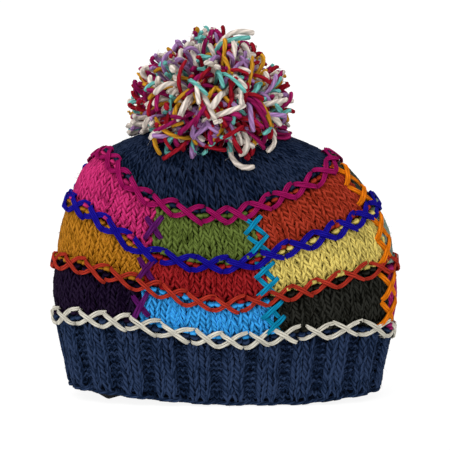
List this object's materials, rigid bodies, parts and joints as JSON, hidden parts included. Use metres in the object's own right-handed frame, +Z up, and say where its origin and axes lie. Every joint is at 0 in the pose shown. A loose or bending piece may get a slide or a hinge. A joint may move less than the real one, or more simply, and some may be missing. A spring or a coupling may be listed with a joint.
{
  "type": "bobble hat",
  "caption": "Knitted bobble hat: a patchwork of coloured knit squares joined by crossed yarn stitching, a ribbed navy band, a navy crown and a shaggy yarn pompom.",
  "frame": {"origin": "middle of the hat's outline at the level of the rim, on the surface that it stands on", "axes": "+Z up through the pompom, +X to the hat's right as seen from the front, the front faces -Y"},
  "size_m": [0.2264, 0.1079, 0.2427],
  "materials": {
    "wool_navy": "matte knitted wool",
    "fleece_charcoal": "matte brushed fleece",
    "wool_green": "matte knitted wool",
    "wool_red": "matte knitted wool",
    "wool_sky": "matte knitted wool",
    "wool_rust": "matte knitted wool",
    "wool_lime": "matte knitted wool",
    "wool_charcoal": "matte knitted wool",
    "wool_olive": "matte knitted wool",
    "wool_sage": "matte knitted wool",
    "wool_magenta": "matte knitted wool",
    "wool_mustard": "matte knitted wool",
    "wool_plum": "matte knitted wool",
    "wool_pink": "matte knitted wool",
    "wool_aubergine": "matte knitted wool",
    "yarn_mixed": "matte cut wool yarn"
  },
  "bodies": {
    "root": {"rib_band": "wool_navy", "lining_band": "fleece_charcoal", "lower_patch_1": "wool_sky", "middle_patch_1": "wool_red", "upper_patch_1": "wool_green", "lower_patch_2": "wool_charcoal", "middle_patch_2": "wool_lime", "upper_patch_2": "wool_rust", "lower_patch_3": "wool_magenta", "middle_patch_3": "wool_sage", "upper_patch_3": "wool_olive", "lower_patch_4": "wool_green", "middle_patch_4": "wool_plum", "upper_patch_4": "wool_mustard", "lower_patch_5": "wool_lime", "middle_patch_5": "wool_rust", "upper_patch_5": "wool_sky", "lower_patch_6": "wool_aubergine", "middle_patch_6": "wool_mustard", "upper_patch_6": "wool_pink", "crown": "wool_navy", "pompom": "yarn_mixed"}
  },
  "joints": []
}
